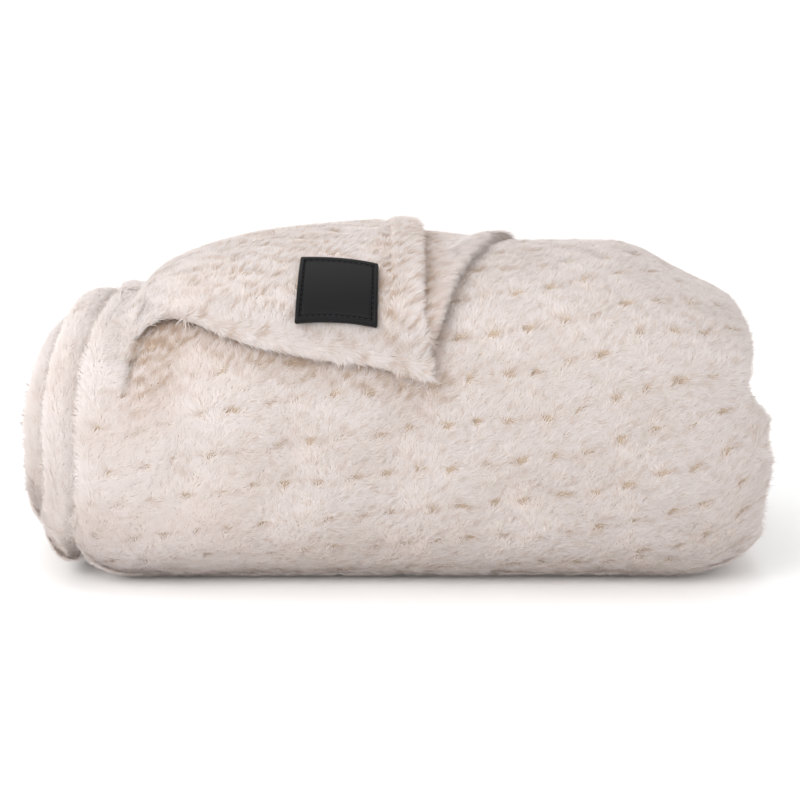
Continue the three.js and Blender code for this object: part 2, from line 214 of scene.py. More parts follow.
# The depth of the hollows and creases here, fading towards the middle of the stack
def hollowAt(across, down, deep):
    total = 0
    for middle, low, left, right, tall, depth in hollows:
        wide = np.where(across < middle, left, right)
        total = total + depth * bump((across - middle) / wide) * bump((down - low) / tall)
    for fromAcross, fromDown, toAcross, toDown, wide, depth in creases:
        alongX, alongY = toAcross - fromAcross, toDown - fromDown
        share = ((across - fromAcross) * alongX + (down - fromDown) * alongY) / (alongX ** 2 + alongY ** 2)
        near = limit(share)
        off = np.hypot(across - fromAcross - near * alongX, down - fromDown - near * alongY)
        # a crease fades out past its ends
        total = total + depth * bump(off / wide) * ease(bundle["creaseFade"] - np.abs(share - 0.5))
    return total * np.exp(-np.maximum(deep, 0) / bundle["pressFade"])


def levelHeight(deep, atTop):
    return bundle["stackHeight"] - deep if atTop else deep


# Sets a section point at its place: lower towards the back and the ends, level on the floor
def settle(across, y, z):
    fall = 1 - bundle["backFall"] * rise(y, bundle["backRise"])
    z = np.maximum(0, z * heightAt(across) * fall / bundle["stackHeight"])
    # the ends that reach past the outer layer sink a little under their own weight
    past = rise(-across, bundle["sagRise"])
    aboveFloor = limit(z / bundle["sagFloor"])
    z = z - bundle["sag"] * past * bump(np.maximum(z - bundle["sagAt"], 0) / bundle["sagTall"]) * aboveFloor
    return np.stack(np.broadcast_arrays(across, y, z), axis=-1)


def stackPoint(across, deep, down, hollowed=1):
    pressed = deep + drawIn(across) + hollowed * hollowAt(across, down, deep)
    y, z = sectionPoint(pressed, down)
    return settle(across, y, z)


def metres(points):
    return (np.asarray(points) + bundle["shift"]) * 0.001


# The knitted lattice of dimples, in the cloth's own directions
lattice = {
    "alongRow": (17.4, -1.4), "nextRow": (4.6, 21.6), "wander": 1.5, "wanderSize": 34,
    # the dimples' size across and down, the small ones' round bowl, and the depths of the four
    "main": (4.3, 1.35), "bowl": (6.5, 5.0), "small": (1.6, 2.6), "smallBowl": 5.0, "depths": (1.7, 0.7, 1.1, 0.5),
    "bendFrom": (46, 216), "bendUp": 0.00234, "bendEven": 0.001, "bendTo": 340,
    # weaker towards the left and the foot: strength there, and where it starts and how far it takes
    "leftStrength": 0.74, "leftRise": (-110, 170), "footStrength": 0.65, "footRise": (290, 60),
    # strength of the dimples: middle, unevenness, least and most, and the size of its waves
    "mainStrength": (0.85, 0.3, 0.25, 1.3), "mainSize": 27, "smallStrength": (0.6, 0.45, 0.05, 1.2), "smallSize": 23,
}
wanderAcross = waves(11, lattice["wanderSize"])
wanderDown = waves(12, lattice["wanderSize"])
mainWave = waves(13, lattice["mainSize"])
smallWave = waves(14, lattice["smallSize"])


# Where a point of the cloth lies in the lattice: whole numbers are the middles of the main dimples
def latticePlace(s, t):
    # towards the right end the rows climb
    past = np.maximum(s - lattice["bendFrom"][0], 0)
    climb = past * (past * lattice["bendUp"] - (t - lattice["bendFrom"][1]) * lattice["bendEven"])
    s = s + lattice["wander"] * wanderAcross(s, t)
    t = t + lattice["wander"] * wanderDown(s, t) + climb * (t < lattice["bendTo"])
    (ax, ay), (bx, by) = lattice["alongRow"], lattice["nextRow"]
    size = ax * by - bx * ay
    return (by * s - bx * t) / size, (ax * t - ay * s) / size


# The way from the nearest dimple's middle. The small dimples lie at half places
def fromDimple(u, v, half):
    du = u - half - np.round(u - half)
    dv = v - half - np.round(v - half)
    (ax, ay), (bx, by) = lattice["alongRow"], lattice["nextRow"]
    return ax * du + bx * dv, ay * du + by * dv


def unevenStrength(kind, wave, s, t):
    middle, uneven, least, most = lattice[kind]
    return np.clip(middle + uneven * wave(s, t), least, most)


def oval(dx, dy, wideTall):
    return np.exp(-(dx / wideTall[0]) ** 2 - (dy / wideTall[1]) ** 2)


# Height of each kind of dimple here, from 1 in its middle to 0
def dimpleMasks(u, v, s, t):
    dx, dy = fromDimple(u, v, 0)
    pressed = mix(lattice["leftStrength"], 1, rise(s, lattice["leftRise"]))
    pressed = pressed * mix(1, lattice["footStrength"], rise(t, lattice["footRise"]))
    strength = unevenStrength("mainStrength", mainWave, s, t) * pressed
    main, bowl = [strength * oval(dx, dy, lattice[kind]) for kind in ("main", "bowl")]
    ex, ey = fromDimple(u, v, 0.5)
    weak = unevenStrength("smallStrength", smallWave, s, t) * pressed
    small = weak * oval(ex, ey, lattice["small"])
    smallBowl = weak * np.exp(-(ex ** 2 + ey ** 2) / lattice["smallBowl"] ** 2)
    return main, bowl, small, smallBowl


# How far the cloth's face lies below the tops of its bubbles
def reliefAt(s, t):
    return sum(deep * mask for deep, mask in zip(lattice["depths"], dimpleMasks(*latticePlace(s, t), s, t)))


# A grid of faces set on the points, with each point's place in the lattice
def addGrid(bm, points, place, shut=False):
    rows, columns = points.shape[:2]
    bmesh.ops.create_grid(bm, x_segments=columns - 1, y_segments=rows - 1, size=1)
    layer = bm.verts.layers.float_vector.new("clothPlace")
    bm.verts.ensure_lookup_table()
    spots, cloths = metres(points).reshape(-1, 3).tolist(), place.reshape(-1, 3).tolist()
    for vert, spot, cloth in zip(bm.verts, spots, cloths):
        vert.co = spot
        vert[layer] = cloth
    if shut:
        seam = [bm.verts[i * columns + side] for side in (0, columns - 1) for i in range(rows)]
        bmesh.ops.remove_doubles(bm, verts=seam, dist=1e-6)


# A front and a back grid in one bmesh, not joined yet
def twoGrids(front, frontPlace, back, backPlace):
    bm, other = bmesh.new(), bmesh.new()
    addGrid(bm, front, frontPlace)
    addGrid(other, back, backPlace)
    backMesh = bpy.data.meshes.new("backSide")
    other.to_mesh(backMesh)
    other.free()
    bm.from_mesh(backMesh)
    bpy.data.meshes.remove(backMesh)
    return bm


def addObject(name, data):
    made = bpy.data.objects.new(name, data)
    bpy.context.scene.collection.objects.link(made)
    return made


def addPiece(name, mesh, material):
    piece = addObject(name, mesh)
    mesh.materials.append(material)
    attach(piece, "root")
    return piece


def meshOf(bm, name):
    mesh = bpy.data.meshes.new(name)
    bm.to_mesh(mesh)
    bm.free()
    mesh.polygons.foreach_set("use_smooth", [True] * len(mesh.polygons))
    return mesh


def finishPiece(bm, name, material):
    return addPiece(name, meshOf(bm, name), material)


# the body of the throw: one strip of cloth that lies back and forth
body = {
    "half": 3.9, "plump": 0.4, "leastHalf": 0.6, "faceColumns": 144, "backColumns": 34,
    "edgeReach": 15, "edgeSteps": (6, 8.2, 10.4, 12.6), "backEdgeStep": 9,
    "frontStep": 2.3, "topStep": 3.4, "footSteps": 8, "bendSteps": 6, "innerFrontSteps": 22, "innerLevelSteps": 4,
    "swell": 0.08, "swellInside": 0.1, "swellFront": 1.0, "swellPast": 1.3, "leastPast": 16, "pastTurns": 3,
    "swellHump": (9, 5), "insideHump": (9, 8), "shownRise": (2, 9), "innerSmooth": 0.9, "footSmooth": 0.6,
    "fringe": 1.2, "fringeHump": (0, 5), "calm": 0.6, "calmRise": (60, 80),
    # the tan painted shade under the corner's hem and in the pocket at its left end
    "paintedShade": 0.36, "hemHump": (5, 11), "hemLeftRise": (-150, 25), "hemRightRise": (-30, 16),
    "pocketDeep": 3, "pocketLeast": 0.15, "pocketRise": (105, 12),
}


# Where the strip is cut across: kind, turn, place along it, whether at the top, end, depth
def runStations():
    stations = []
    half, pitch = bundle["plyHalf"], bundle["plyPitch"]
    for k, (_, _, backTop, backFoot) in enumerate(turns):
        frontSteps = int(frontLength / body["frontStep"]) if k == 0 else body["innerFrontSteps"]
        topSteps = int((backTop - crestYAt(0)) / body["topStep"]) if k == 0 else body["innerLevelSteps"]
        footSteps = body["footSteps"] if k == 0 else body["innerLevelSteps"]
        deep = k * pitch + half
        layers = [("level", k, 1 - i / topSteps, True, backTop, deep) for i in range(topSteps)]
        layers += [("front", k, frontLength * i / frontSteps, True, 0, deep) for i in range(frontSteps + 1)]
        layers += [("level", k, i / footSteps, False, backFoot, deep) for i in range(1, footSteps + 1)]
        stations += layers if k % 2 == 0 else layers[::-1]
        if k + 1 < len(turns):
            centre = (k + 1) * pitch - bundle["plyGap"] / 2
            atTop = k % 2 == 1
            atEnd = backTop if atTop else backFoot
            for i in range(1, body["bendSteps"]):
                share = i / body["bendSteps"]
                stations.append(("bend", k + share, math.pi * share, atTop, atEnd, centre))
    return stations


# The points of a station, offset from the middle of the cloth's thickness
def stationPoints(station, across, offset):
    kind, k, value, atTop, atEnd, deep = station
    drawn = drawIn(across)
    if kind == "bend":
        radius = bundle["plyPitch"] / 2 + (-offset if atTop else offset)
        level = deep - radius * math.cos(value) + drawn
        y = atEnd - drawn * bundle["backDraw"] + radius * math.sin(value)
        return settle(across, y, levelHeight(level, atTop))
    deep = deep + (offset if k % 2 else -offset)
    if kind == "front":
        return stackPoint(across, deep, value)
    drawn = drawn + deep
    start = crestYAt(drawn) if atTop else footYAt(drawn)
    y = mix(start, atEnd - drawIn(across) * bundle["backDraw"], value)
    return settle(across, y, levelHeight(drawn, atTop))


# Places on a rounded rim: the way in from its edge, and the rise there from 0 to 1
def rimPlaces(radius):
    return [(radius * (1 - math.cos(a)), math.sin(a)) for a in np.radians([0, 18, 36, 54, 72, 90])]


# The places round the strip's section, from its left edge over its face and back
def ringColumns():
    turnIn, under = rimPlaces(body["half"]), [(body["backEdgeStep"], 1)]
    left = turnIn + [(reach, 1) for reach in body["edgeSteps"]]
    columns = [("left", reach, side) for reach, side in left]
    columns += [("share", i / body["faceColumns"], 1) for i in range(body["faceColumns"] + 1)]
    columns += [("right", reach, side) for reach, side in left[::-1]]
    columns += [("right", reach, -side) for reach, side in turnIn[1:] + under]
    columns += [("share", 1 - i / body["backColumns"], -1) for i in range(body["backColumns"] + 1)]
    columns += [("left", reach, -side) for reach, side in under + turnIn[:0:-1]]
    columns += [("left", 0, 0)]
    return columns


# The tan painted shade of the front's pile: under the corner's hem and in the pocket's hollow
def paintedShadeAt(across, down):
    underHem = hump(down - flapHemAt(across), body["hemHump"]) * rise(across, body["hemLeftRise"])
    underHem = underHem * rise(-across, body["hemRightRise"])
    inPocket = limit(hollowAt(across, down, 0) / body["pocketDeep"] - body["pocketLeast"])
    return body["paintedShade"] * underHem + body["paintedShade"] * inPocket * rise(-across, body["pocketRise"])


# The body as a closed mesh, and the grids that its pile grows from
def makeBody():
    stations = runStations()
    kinds, amounts, sides = [np.array(values) for values in zip(*ringColumns())]
    reach = body["edgeReach"]
    points, places, cloth, walked, last = [], [], [], 0, None
    for station in stations:
        kind, k, value, atTop, _, deep = station
        middle = sectionPoint(deep, value)[1] if kind == "front" else levelHeight(deep, atTop)
        low, high, part = int(math.floor(k)), int(math.ceil(k)), k % 1
        left = leftEndAt(middle) + mix(turns[low][0], turns[high][0], part)
        right = rightEndAt(middle) + mix(turns[low][1], turns[high][1], part)
        across = np.where(kinds == "left", left + amounts, np.where(kinds == "right", right - amounts, 0))
        across = np.where(kinds == "share", mix(left + reach, right - reach, amounts), across)
        fromEnd = np.minimum(across - left, right - across)
        centre = stationPoints(station, np.array([0.0]), np.array([0.0]))[0]
        if last is not None:
            walked += float(np.linalg.norm(centre - last))
        last = centre
        t = np.full_like(across, walked)
        share = math.sin(math.pi * part) if kind == "bend" else 1.0 if k == 0 else 0.0
        shown = rise(fromEnd, body["shownRise"]) * share
        relief = reliefAt(across, t) * shown + body["innerSmooth"] * (1 - shown)
        relief = np.where((kind == "level") & (not atTop), body["footSmooth"], relief)
        inside = body["swellInside"] * hump(fromEnd, body["insideHump"])
        if k >= 1 and kind != "bend":
            # the side that faces out swells, most past the layer before it
            past = max(turns[k - 1][0] - turns[k][0], body["leastPast"]) / 2
            most = np.where((across < 0) & (k < body["pastTurns"]), body["swellPast"], body["swellFront"])
            out = most * hump(fromEnd, (past, past + 1)) * (1 - value if kind == "level" else 1)
            inside = np.where(sides * (-1 if k % 2 else 1) > 0, out, inside)
        outer = (k == 0) & (sides > 0)
        swell = 1 + np.where(outer, body["swell"] * hump(fromEnd, body["swellHump"]), inside)
        offset = sides * np.maximum(body["half"] * swell + body["plump"] - relief, body["leastHalf"])
        points.append(stationPoints(station, across, offset))
        u, v = latticePlace(across, t)
        places.append(np.stack([u, v, shown], axis=-1))
        fringe = body["fringe"] * hump(fromEnd, body["fringeHump"]) * np.where(across < 0, -1, 1)
        turned = np.full_like(across, -1 if kind != "bend" and k % 2 else 1)
        calm = 1 - body["calm"] * rise(-across, body["calmRise"])
        none = np.zeros_like(across)
        # the outer front's pile is painted tan as shade under the hem and in the pocket
        paintedShade = paintedShadeAt(across, value) if kind == "front" and k == 0 else none
        cloth.append(np.stack([across, t, fringe, none, turned, none, calm, paintedShade], axis=-1))
    points, places, cloth = [np.array(rows) for rows in (points, places, cloth)]
    bm = bmesh.new()
    addGrid(bm, points, places, shut=True)
    # the strip's two ends
    bmesh.ops.holes_fill(bm, edges=[e for e in bm.edges if e.is_boundary], sides=0)
    bmesh.ops.recalc_face_normals(bm, faces=bm.faces)
    return bm, points, places, cloth


# the corner that is turned over the top, in two plies
corner = {
    "half": 2.8, "spread": 6.6, "sink": 0.6, "leftmost": -150, "edgeGuess": 10, "upLength": 198, "inLength": 158,
    "hemWide": 15, "hemRise": 0.8, "hemRound": 5, "lowerHem": 0.25, "lowerHemRise": (-110, 60), "hemTurn": 12,
    "hemOut": 6.8, "hemOutRise": (3, 16), "seamDip": 1.5, "seamWide": 1.9, "ridgeHump": (5, 6.5),
    "shownRise": (1, 6), "relief": 0.8, "patternAt": (400, 300),
    "step": 2.2, "backStep": 6.0, "topStep": 4.0, "topFrom": 130,
    "fringe": 1.6, "fringeWide": 6, "fringeRise": (-132, 30), "seamBare": 0.75, "seamBareWide": 1.6,
    "calm": 0.5, "calmRise": (80, 60), "lowerCalm": 0.55, "upperCalm": 0.85, "edgeCalm": 0.7, "edgeCalmHump": (3, 9),
    # painted shade, tan: in the valley beside the upper ply's edge, and along the upper ply's right seam
    "valleyPaintedShade": 0.3, "valleyHump": (2, 8), "seamPaintedShade": 0.2, "seamShadeHump": (16, 6), "seamShadeRise": (10, 60),
}

# How far the corner stands out of the stack, by its place along it
flapRise = [
    (-152, -3.5), (-148, -2.2), (-144, -0.5), (-138, 2.5), (-130, 6), (-117, 10), (-92, 13), (-60, 14.4),
    (8, 14.4), (22, 13), (40, 10), (60, 8.6),
]
# How far down its lower hem lies
flapHem = [
    (-152, 93), (-147, 90), (-142, 86), (-137, 83), (-131, 81), (-123, 81), (-112, 86),
    (-90, 99.5), (-55, 111.5), (-20, 118), (0, 124), (16, 127.5),
]
# Right edges of the two plies: down, upper, lower
flapEdges = [
    (-110, 3, 62), (-50, 3, 63), (0, 4, 55.5), (19, 6, 46), (37, 6.5, 39.5), (54, 6.5, 32.5), (68, 6.5, 27),
    (80, 6.5, 22), (95, 6.5, 17.5), (107, 8, 13.5), (127, 13, 12),
]
flapRiseAt = curveThrough(flapRise)
flapHemAt = curveThrough(flapHem)
upperEdgeAt = curveThrough(flapEdges, 1)
lowerEdgeAt = curveThrough(flapEdges, 2)


# How far the upper ply stands out: less at its hem, where the lower ply isn't under it
def upperOut(across, up):
    most = flapRiseAt(across)
    return np.minimum(most, mix(corner["hemOut"], most, rise(up, corner["hemOutRise"])))


# The front or back of a ply, by the ways up from its hem and inwards from its right edge
def plyGrid(ply, ups, inwards, side):
    up, inward = np.meshgrid(ups, inwards, indexing="ij")
    edgeWide, reach = inwards[-1], ups[-1]
    hemmed = ply["hemmed"]
    edge = ply["edgeAt"](flapHemAt(corner["edgeGuess"] - inward) - ply["short"] - up)
    across = edge - inward * (edge - corner["leftmost"]) / edgeWide
    hemDown = flapHemAt(across) - ply["short"]
    down = hemDown - up * (hemDown + ply["backEnd"]) / reach
    fromEdge = edge - across
    fromHem = np.minimum(up, fromEdge)
    fromSeam = fromHem - corner["hemWide"]
    close = np.sqrt(limit(1 - (1 - limit(fromHem / ply["rim"])) ** 2))
    alongRight = ease((up - fromEdge) / corner["hemTurn"] + 0.5)
    firm = mix(corner["lowerHem"] * rise(across, corner["lowerHemRise"]), 1, alongRight) * hemmed
    roll = corner["hemRise"] * hump(fromHem, (corner["hemWide"] / 2, corner["hemRound"])) * firm
    roll = roll - corner["seamDip"] * bump(fromSeam / corner["seamWide"]) * firm
    roll = roll + ply["ridge"] * hump(fromEdge, corner["ridgeHump"])
    shown = rise(fromSeam, corner["shownRise"])
    s, t = corner["patternAt"][0] - down, across + corner["patternAt"][1]
    relief = reliefAt(s, t) * shown * corner["relief"]
    offset = side * (corner["half"] * close) + (roll - relief - corner["sink"]) * close * (side > 0)
    out = upperOut(across, up) if hemmed else flapRiseAt(across) - ply["lift"]
    points = stackPoint(across, corner["spread"] / 2 - out - offset, down, 0)
    u, v = latticePlace(s, t)
    fringe = bump(fromHem / corner["fringeWide"]) * corner["fringe"] * rise(across, corner["fringeRise"])
    fringeS, fringeT = np.where(up < fromEdge, -fringe, 0), np.where(up < fromEdge, 0, fringe)
    bare = corner["seamBare"] * alongRight * hemmed * bump(fromSeam / corner["seamBareWide"])
    calm = 1 - corner["calm"] * rise(-across, corner["calmRise"])
    calm = calm * mix(corner["lowerCalm"], corner["upperCalm"], hemmed)
    calm = calm * (1 - corner["edgeCalm"] * (1 - hemmed) * hump(fromEdge, corner["edgeCalmHump"]))
    # painted shade, tan, on the lower ply in the valley beside the upper ply's edge, and on the upper ply along its
    # right seam, more lower down
    valley = corner["valleyPaintedShade"] * (1 - hemmed) * hump(across - upperEdgeAt(down), corner["valleyHump"])
    alongSeam = corner["seamPaintedShade"] * hemmed * hump(fromEdge, corner["seamShadeHump"])
    paintedShade = valley + alongSeam * rise(down, corner["seamShadeRise"])
    cloth = np.stack([s, t, fringeS, fringeT, np.ones_like(s), bare, calm, paintedShade], axis=-1)
    return points, np.stack([u, v, shown], axis=-1), cloth


# Lines close together round the rim, then at even steps, and coarse from a place on
def steppedLines(rim, reach, step, coarse=None, coarseFrom=math.inf):
    lines = [inward for inward, _ in rimPlaces(rim)]
    while lines[-1] < reach - 1:
        lines.append(min(reach, lines[-1] + (step if lines[-1] < coarseFrom else coarse)))
    return np.array(lines)


def makePly(ply):
    rim, upLength, inLength, step = ply["rim"], corner["upLength"], corner["inLength"], corner["step"]
    ups = steppedLines(rim, upLength, step, corner["topStep"], corner["topFrom"])
    front, frontPlace, cloth = plyGrid(ply, ups, steppedLines(rim, inLength, step), 1)
    backUps, backInwards = [steppedLines(rim, reach, corner["backStep"]) for reach in (upLength, inLength)]
    back, backPlace, _ = plyGrid(ply, backUps, backInwards, -1)
    bm = twoGrids(front, frontPlace, back, backPlace)
    bmesh.ops.bridge_loops(bm, edges=[e for e in bm.edges if e.is_boundary])
    bmesh.ops.recalc_face_normals(bm, faces=bm.faces)
    return bm, front, frontPlace, cloth


plies = {
    "upper": {"edgeAt": upperEdgeAt, "hemmed": 1, "lift": 0, "ridge": 0, "rim": 3.4, "backEnd": 92, "short": 0},
    "lower": {"edgeAt": lowerEdgeAt, "hemmed": 0, "lift": 7.5, "ridge": 3.4, "rim": 2.4, "backEnd": 104, "short": 16},
}


# the moulded patch
patch = {
    "wide": 42.5, "tall": 37, "thick": 2.4, "roundCorner": 1.2, "step": 1.5, "clear": 0.8, "dip": 1.3, "arch": 1.5,
    # where its corners lie on the cloth, across and down: top left, top right, bottom left, bottom right
    "corners": [(-54.3, 61.6), (-13.5, 71.6), (-56.2, 101.2), (-13.9, 105.6)],
    # depth below the rim's top, by the distance from the outer edge
    "profile": [
        (0, 2.4), (0.05, 1.2), (0.25, 0.4), (0.6, 0.06), (1.1, 0), (2.0, 0), (2.25, 0.12), (2.45, 0.75),
        (2.7, 1.0), (2.95, 0.95), (3.2, 0.6), (3.5, 0.5), (8, 0.5), (30, 0.5),
    ],
}


# Grid lines across the patch: close in the rim, even inside it
def patchLines(size):
    near = [row[0] for row in patch["profile"][:-2]]
    inner = np.linspace(near[-1], size / 2, int((size / 2 - near[-1]) / patch["step"]) + 1)[1:]
    half = np.concatenate([near, inner]) - size / 2
    return np.concatenate([half, -half[-2::-1]])


# A place of the patch on the bundle, by its own width and height from its middle
def patchSpot(u, v, height):
    topLeft, topRight, footLeft, footRight = np.array(patch["corners"], float)
    shareU = (u / patch["wide"] + 0.5)[..., None]
    shareV = (v / patch["tall"] + 0.5)[..., None]
    spot = mix(mix(topLeft, topRight, shareU), mix(footLeft, footRight, shareU), shareV)
    across, down = spot[..., 0], spot[..., 1] - patch["arch"] * (1 - (2 * shareU[..., 0] - 1) ** 2)
    base = patch["dip"] * limit(shareV[..., 0]) ** 2 - flapRiseAt(across) - patch["clear"]
    return stackPoint(across, base - height, down, 0)


def makePatch():
    v, u = np.meshgrid(patchLines(patch["tall"]), patchLines(patch["wide"]), indexing="ij")
    halfWide, halfTall = patch["wide"] / 2, patch["tall"] / 2
    fromSide, fromTop = halfWide - np.abs(u), halfTall - np.abs(v)
    below = np.interp(np.minimum(fromSide, fromTop), *zip(*patch["profile"]))
    reach = patch["roundCorner"]
    a, b = limit(1 - fromSide / reach), limit(1 - fromTop / reach)
    both = (a > 0) & (b > 0)
    u = np.where(both, np.sign(u) * (halfWide - reach + a * np.sqrt(1 - b ** 2 / 2) * reach), u)
    v = np.where(both, np.sign(v) * (halfTall - reach + b * np.sqrt(1 - a ** 2 / 2) * reach), v)
    height = patch["thick"] - below
    place = np.stack([u, v, height], axis=-1)
    bm = twoGrids(patchSpot(u, v, height), place, patchSpot(u, v, 0), place)
    bmesh.ops.remove_doubles(bm, verts=bm.verts, dist=1e-7)
    bmesh.ops.recalc_face_normals(bm, faces=bm.faces)
    return bm


# the stitches: short rounded threads in a row
stitches = {
    # length, gap and thickness of a stitch
    "hem": (3.0, 1.3, 0.7), "hemAbove": 0.35, "hemEnd": 110, "hemPlaces": 60, "beside": 0.6,
    "outwards": (0, -0.7, 0.7),
    "patch": (2.1, 0.9, 0.5), "patchIn": 2.7, "patchHeight": 1.6, "patchPlaces": 12,
}


# Threads along a path of points, each with its flat side turned the given way out
def addStitches(bm, path, out, kind):
    long, gap, thick = [size * 0.001 for size in stitches[kind]]
    steps = np.linalg.norm(np.diff(path, axis=0), axis=1)
    walked = np.concatenate([[0], np.cumsum(steps)])
    start = gap
    while start + long < walked[-1]:
        a, b, up = [
            Vector([np.interp(at, walked, rows[:, i]) for i in range(3)])
            for at, rows in ((start, path), (start + long, path), (start + long / 2, out))
        ]
        along = (b - a).normalized()
        side = up.cross(along).normalized()
        up = along.cross(side)
        turn = Matrix((along * long / 2, side * thick / 2, up * thick / 2)).transposed().to_4x4()
        turn.translation = (a + b) / 2
        bmesh.ops.create_icosphere(bm, subdivisions=1, radius=1, matrix=turn)
        start += long + gap


def makeHemStitches():
    wide, up, inward = corner["hemWide"], corner["upLength"], corner["inLength"]
    walk = np.linspace(wide, stitches["hemEnd"], stitches["hemPlaces"])
    beside = [wide, wide + stitches["beside"]]
    bm = bmesh.new()
    # the right-hand seam, then the lower one
    for ups, inwards, pick in (
        (np.append(walk, up), np.array(beside + [inward]), (slice(None), 0)),
        (np.array(beside + [up]), np.append(walk, inward), (0, slice(None))),
    ):
        points = plyGrid(plies["upper"], ups, inwards, 1)[0]
        out = unit(np.cross(points[:-1, 1:] - points[:-1, :-1], points[1:, :-1] - points[:-1, :-1]))
        out = out * np.where(np.sum(out * np.array(stitches["outwards"]), axis=-1, keepdims=True) < 0, -1, 1)
        points = points[:-1, :-1]
        addStitches(bm, metres(points[pick] + out[pick] * stitches["hemAbove"]), out[pick], "hem")
    return bm


def makePatchStitches():
    u = patch["wide"] / 2 - stitches["patchIn"]
    v = patch["tall"] / 2 - stitches["patchIn"]
    bm = bmesh.new()
    around = [(-u, -v), (u, -v), (u, v), (-u, v), (-u, -v)]
    for a, b in zip(around, around[1:]):
        us, vs = [np.linspace(a[i], b[i], stitches["patchPlaces"]) for i in (0, 1)]
        path = metres(patchSpot(us, vs, stitches["patchHeight"]))
        out = unit(metres(patchSpot(us, vs, stitches["patchHeight"] + 1)) - path)
        addStitches(bm, path, out, "patch")
    return bm


def unit(vectors):
    return vectors / np.maximum(np.linalg.norm(vectors, axis=-1, keepdims=True), 1e-12)


# materials
def setInputs(node, values):
    for name, value in values.items():
        node.inputs[name].default_value = value


def newMaterial(name, values):
    material = bpy.data.materials.new(name)
    material.use_nodes = True
    tree = material.node_tree
    shader = tree.nodes["Principled BSDF"]
    setInputs(shader, values)
    return material, tree, shader


# A function that adds maths nodes to the tree
def mathIn(tree):
    def add(kind, a, b=0.0):
        node = tree.nodes.new("ShaderNodeMath")
        node.operation = kind
        for socket, value in zip(node.inputs, (a, b)):
            if isinstance(value, (int, float)):
                socket.default_value = value
            else:
                tree.links.new(value, socket)
        return node.outputs[0]

    return add


# A texture node on the object's own coordinates
def patternNode(tree, kind, values):
    coords = tree.nodes.new("ShaderNodeTexCoord")
    node = tree.nodes.new(kind)
    setInputs(node, values)
    tree.links.new(coords.outputs["Object"], node.inputs["Vector"])
    return node


# Bumps on the shader, by a height
def addBump(tree, shader, height, strength, distance):
    relief = tree.nodes.new("ShaderNodeBump")
    setInputs(relief, {"Strength": strength, "Distance": distance})
    tree.links.new(height, relief.inputs["Height"])
    tree.links.new(relief.outputs["Normal"], shader.inputs["Normal"])


def rampNode(tree, factor, stops):
    node = tree.nodes.new("ShaderNodeValToRGB")
    for element, (position, colour) in zip(node.color_ramp.elements, stops):
        element.position, element.color = position, colour
    tree.links.new(factor, node.inputs["Fac"])
    return node.outputs["Color"]


# The three parts of a vector attribute
def attributeParts(tree, name):
    attribute = tree.nodes.new("ShaderNodeAttribute")
    attribute.attribute_name = name
    parts = tree.nodes.new("ShaderNodeSeparateXYZ")
    tree.links.new(attribute.outputs["Vector"], parts.inputs["Vector"])
    return attribute.outputs["Vector"], parts.outputs


# Height of an oval round each whole or half place of the lattice, from 1 in its middle to 0
def dimpleGroup():
    group = bpy.data.node_groups.new("latticeDimple", "ShaderNodeTree")
    group.interface.new_socket(name="Place", in_out="INPUT", socket_type="NodeSocketVector")
    for name in ("Half", "Wide", "Tall"):
        group.interface.new_socket(name=name, in_out="INPUT", socket_type="NodeSocketFloat")
    group.interface.new_socket(name="Dimple", in_out="OUTPUT", socket_type="NodeSocketFloat")
    start = group.nodes.new("NodeGroupInput")
    end = group.nodes.new("NodeGroupOutput")
    parts = group.nodes.new("ShaderNodeSeparateXYZ")
    group.links.new(start.outputs["Place"], parts.inputs["Vector"])
    calc = mathIn(group)
    off = []
    for axis in ("X", "Y"):
        moved = calc("SUBTRACT", parts.outputs[axis], start.outputs["Half"])
        off.append(calc("SUBTRACT", moved, calc("ROUND", moved)))
    (ax, ay), (bx, by) = lattice["alongRow"], lattice["nextRow"]
    dx = calc("ADD", calc("MULTIPLY", off[0], ax), calc("MULTIPLY", off[1], bx))
    dy = calc("ADD", calc("MULTIPLY", off[0], ay), calc("MULTIPLY", off[1], by))
    squares = []
    for amount, size in ((dx, "Wide"), (dy, "Tall")):
        share = calc("DIVIDE", amount, start.outputs[size])
        squares.append(calc("MULTIPLY", share, share))
    fall = calc("MULTIPLY", calc("ADD", *squares), -1.0)
    group.links.new(calc("EXPONENT", fall), end.inputs["Dimple"])
    return group


ground = {
    "pale": (0.61, 0.55, 0.515, 1), "tan": (0.43, 0.335, 0.26, 1), "paleAt": 0.2, "tanAt": 0.8,
    "main": (5.4, 2.5), "small": (2.2, 3.2), "smallShare": 0.7,
    "noiseScale": 900, "noiseShare": 0.7, "hatchPace": 150.0, "hatchShare": 0.16,
}


